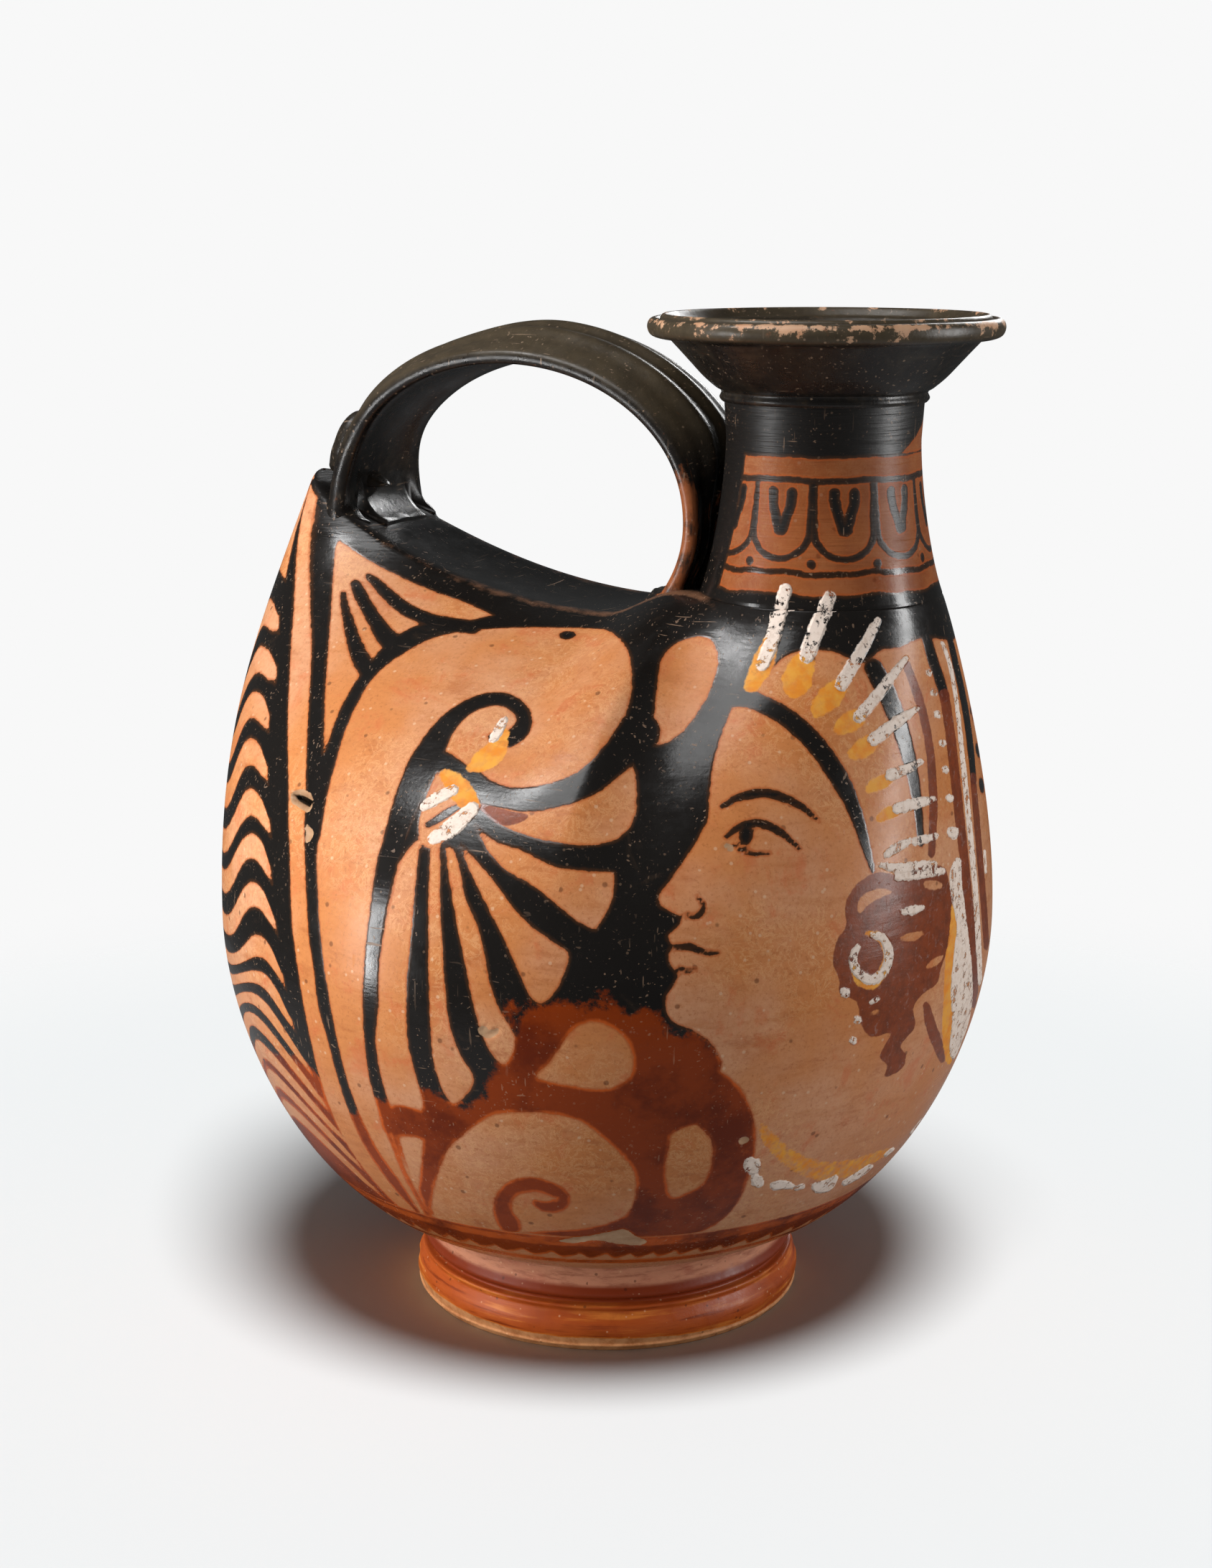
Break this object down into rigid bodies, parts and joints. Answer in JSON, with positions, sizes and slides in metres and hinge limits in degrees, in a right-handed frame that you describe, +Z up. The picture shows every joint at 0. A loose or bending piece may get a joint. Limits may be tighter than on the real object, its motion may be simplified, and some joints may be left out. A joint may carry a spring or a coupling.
{
  "type": "askos",
  "caption": "Closed pouring vessel of painted clay: round body drawn up to a pointed tail, a side neck with flaring mouth, a strap handle over the saddle and a moulded foot.",
  "frame": {"origin": "centre of the resting ring under the foot, at the surface that the vessel stands on", "axes": "+Z up through the foot and the belly, +X towards the neck and the mouth, -X towards the pointed tail"},
  "size_m": [0.1889, 0.1864, 0.24],
  "materials": {
    "red_clay": "red-brown clay with a burnished slip",
    "painted_clay": "orange clay painted with black gloss and added white and yellow",
    "black_gloss": "black slip fired to a gloss"
  },
  "bodies": {
    "root": {"foot": "red_clay", "body_bowl": "painted_clay", "body_shoulder": "painted_clay", "saddle": "black_gloss", "neck": "painted_clay", "mouth": "black_gloss", "handle": "black_gloss", "tail_spur": "black_gloss", "handle_tail_luting": "black_gloss", "handle_front_luting": "black_gloss"}
  },
  "joints": []
}
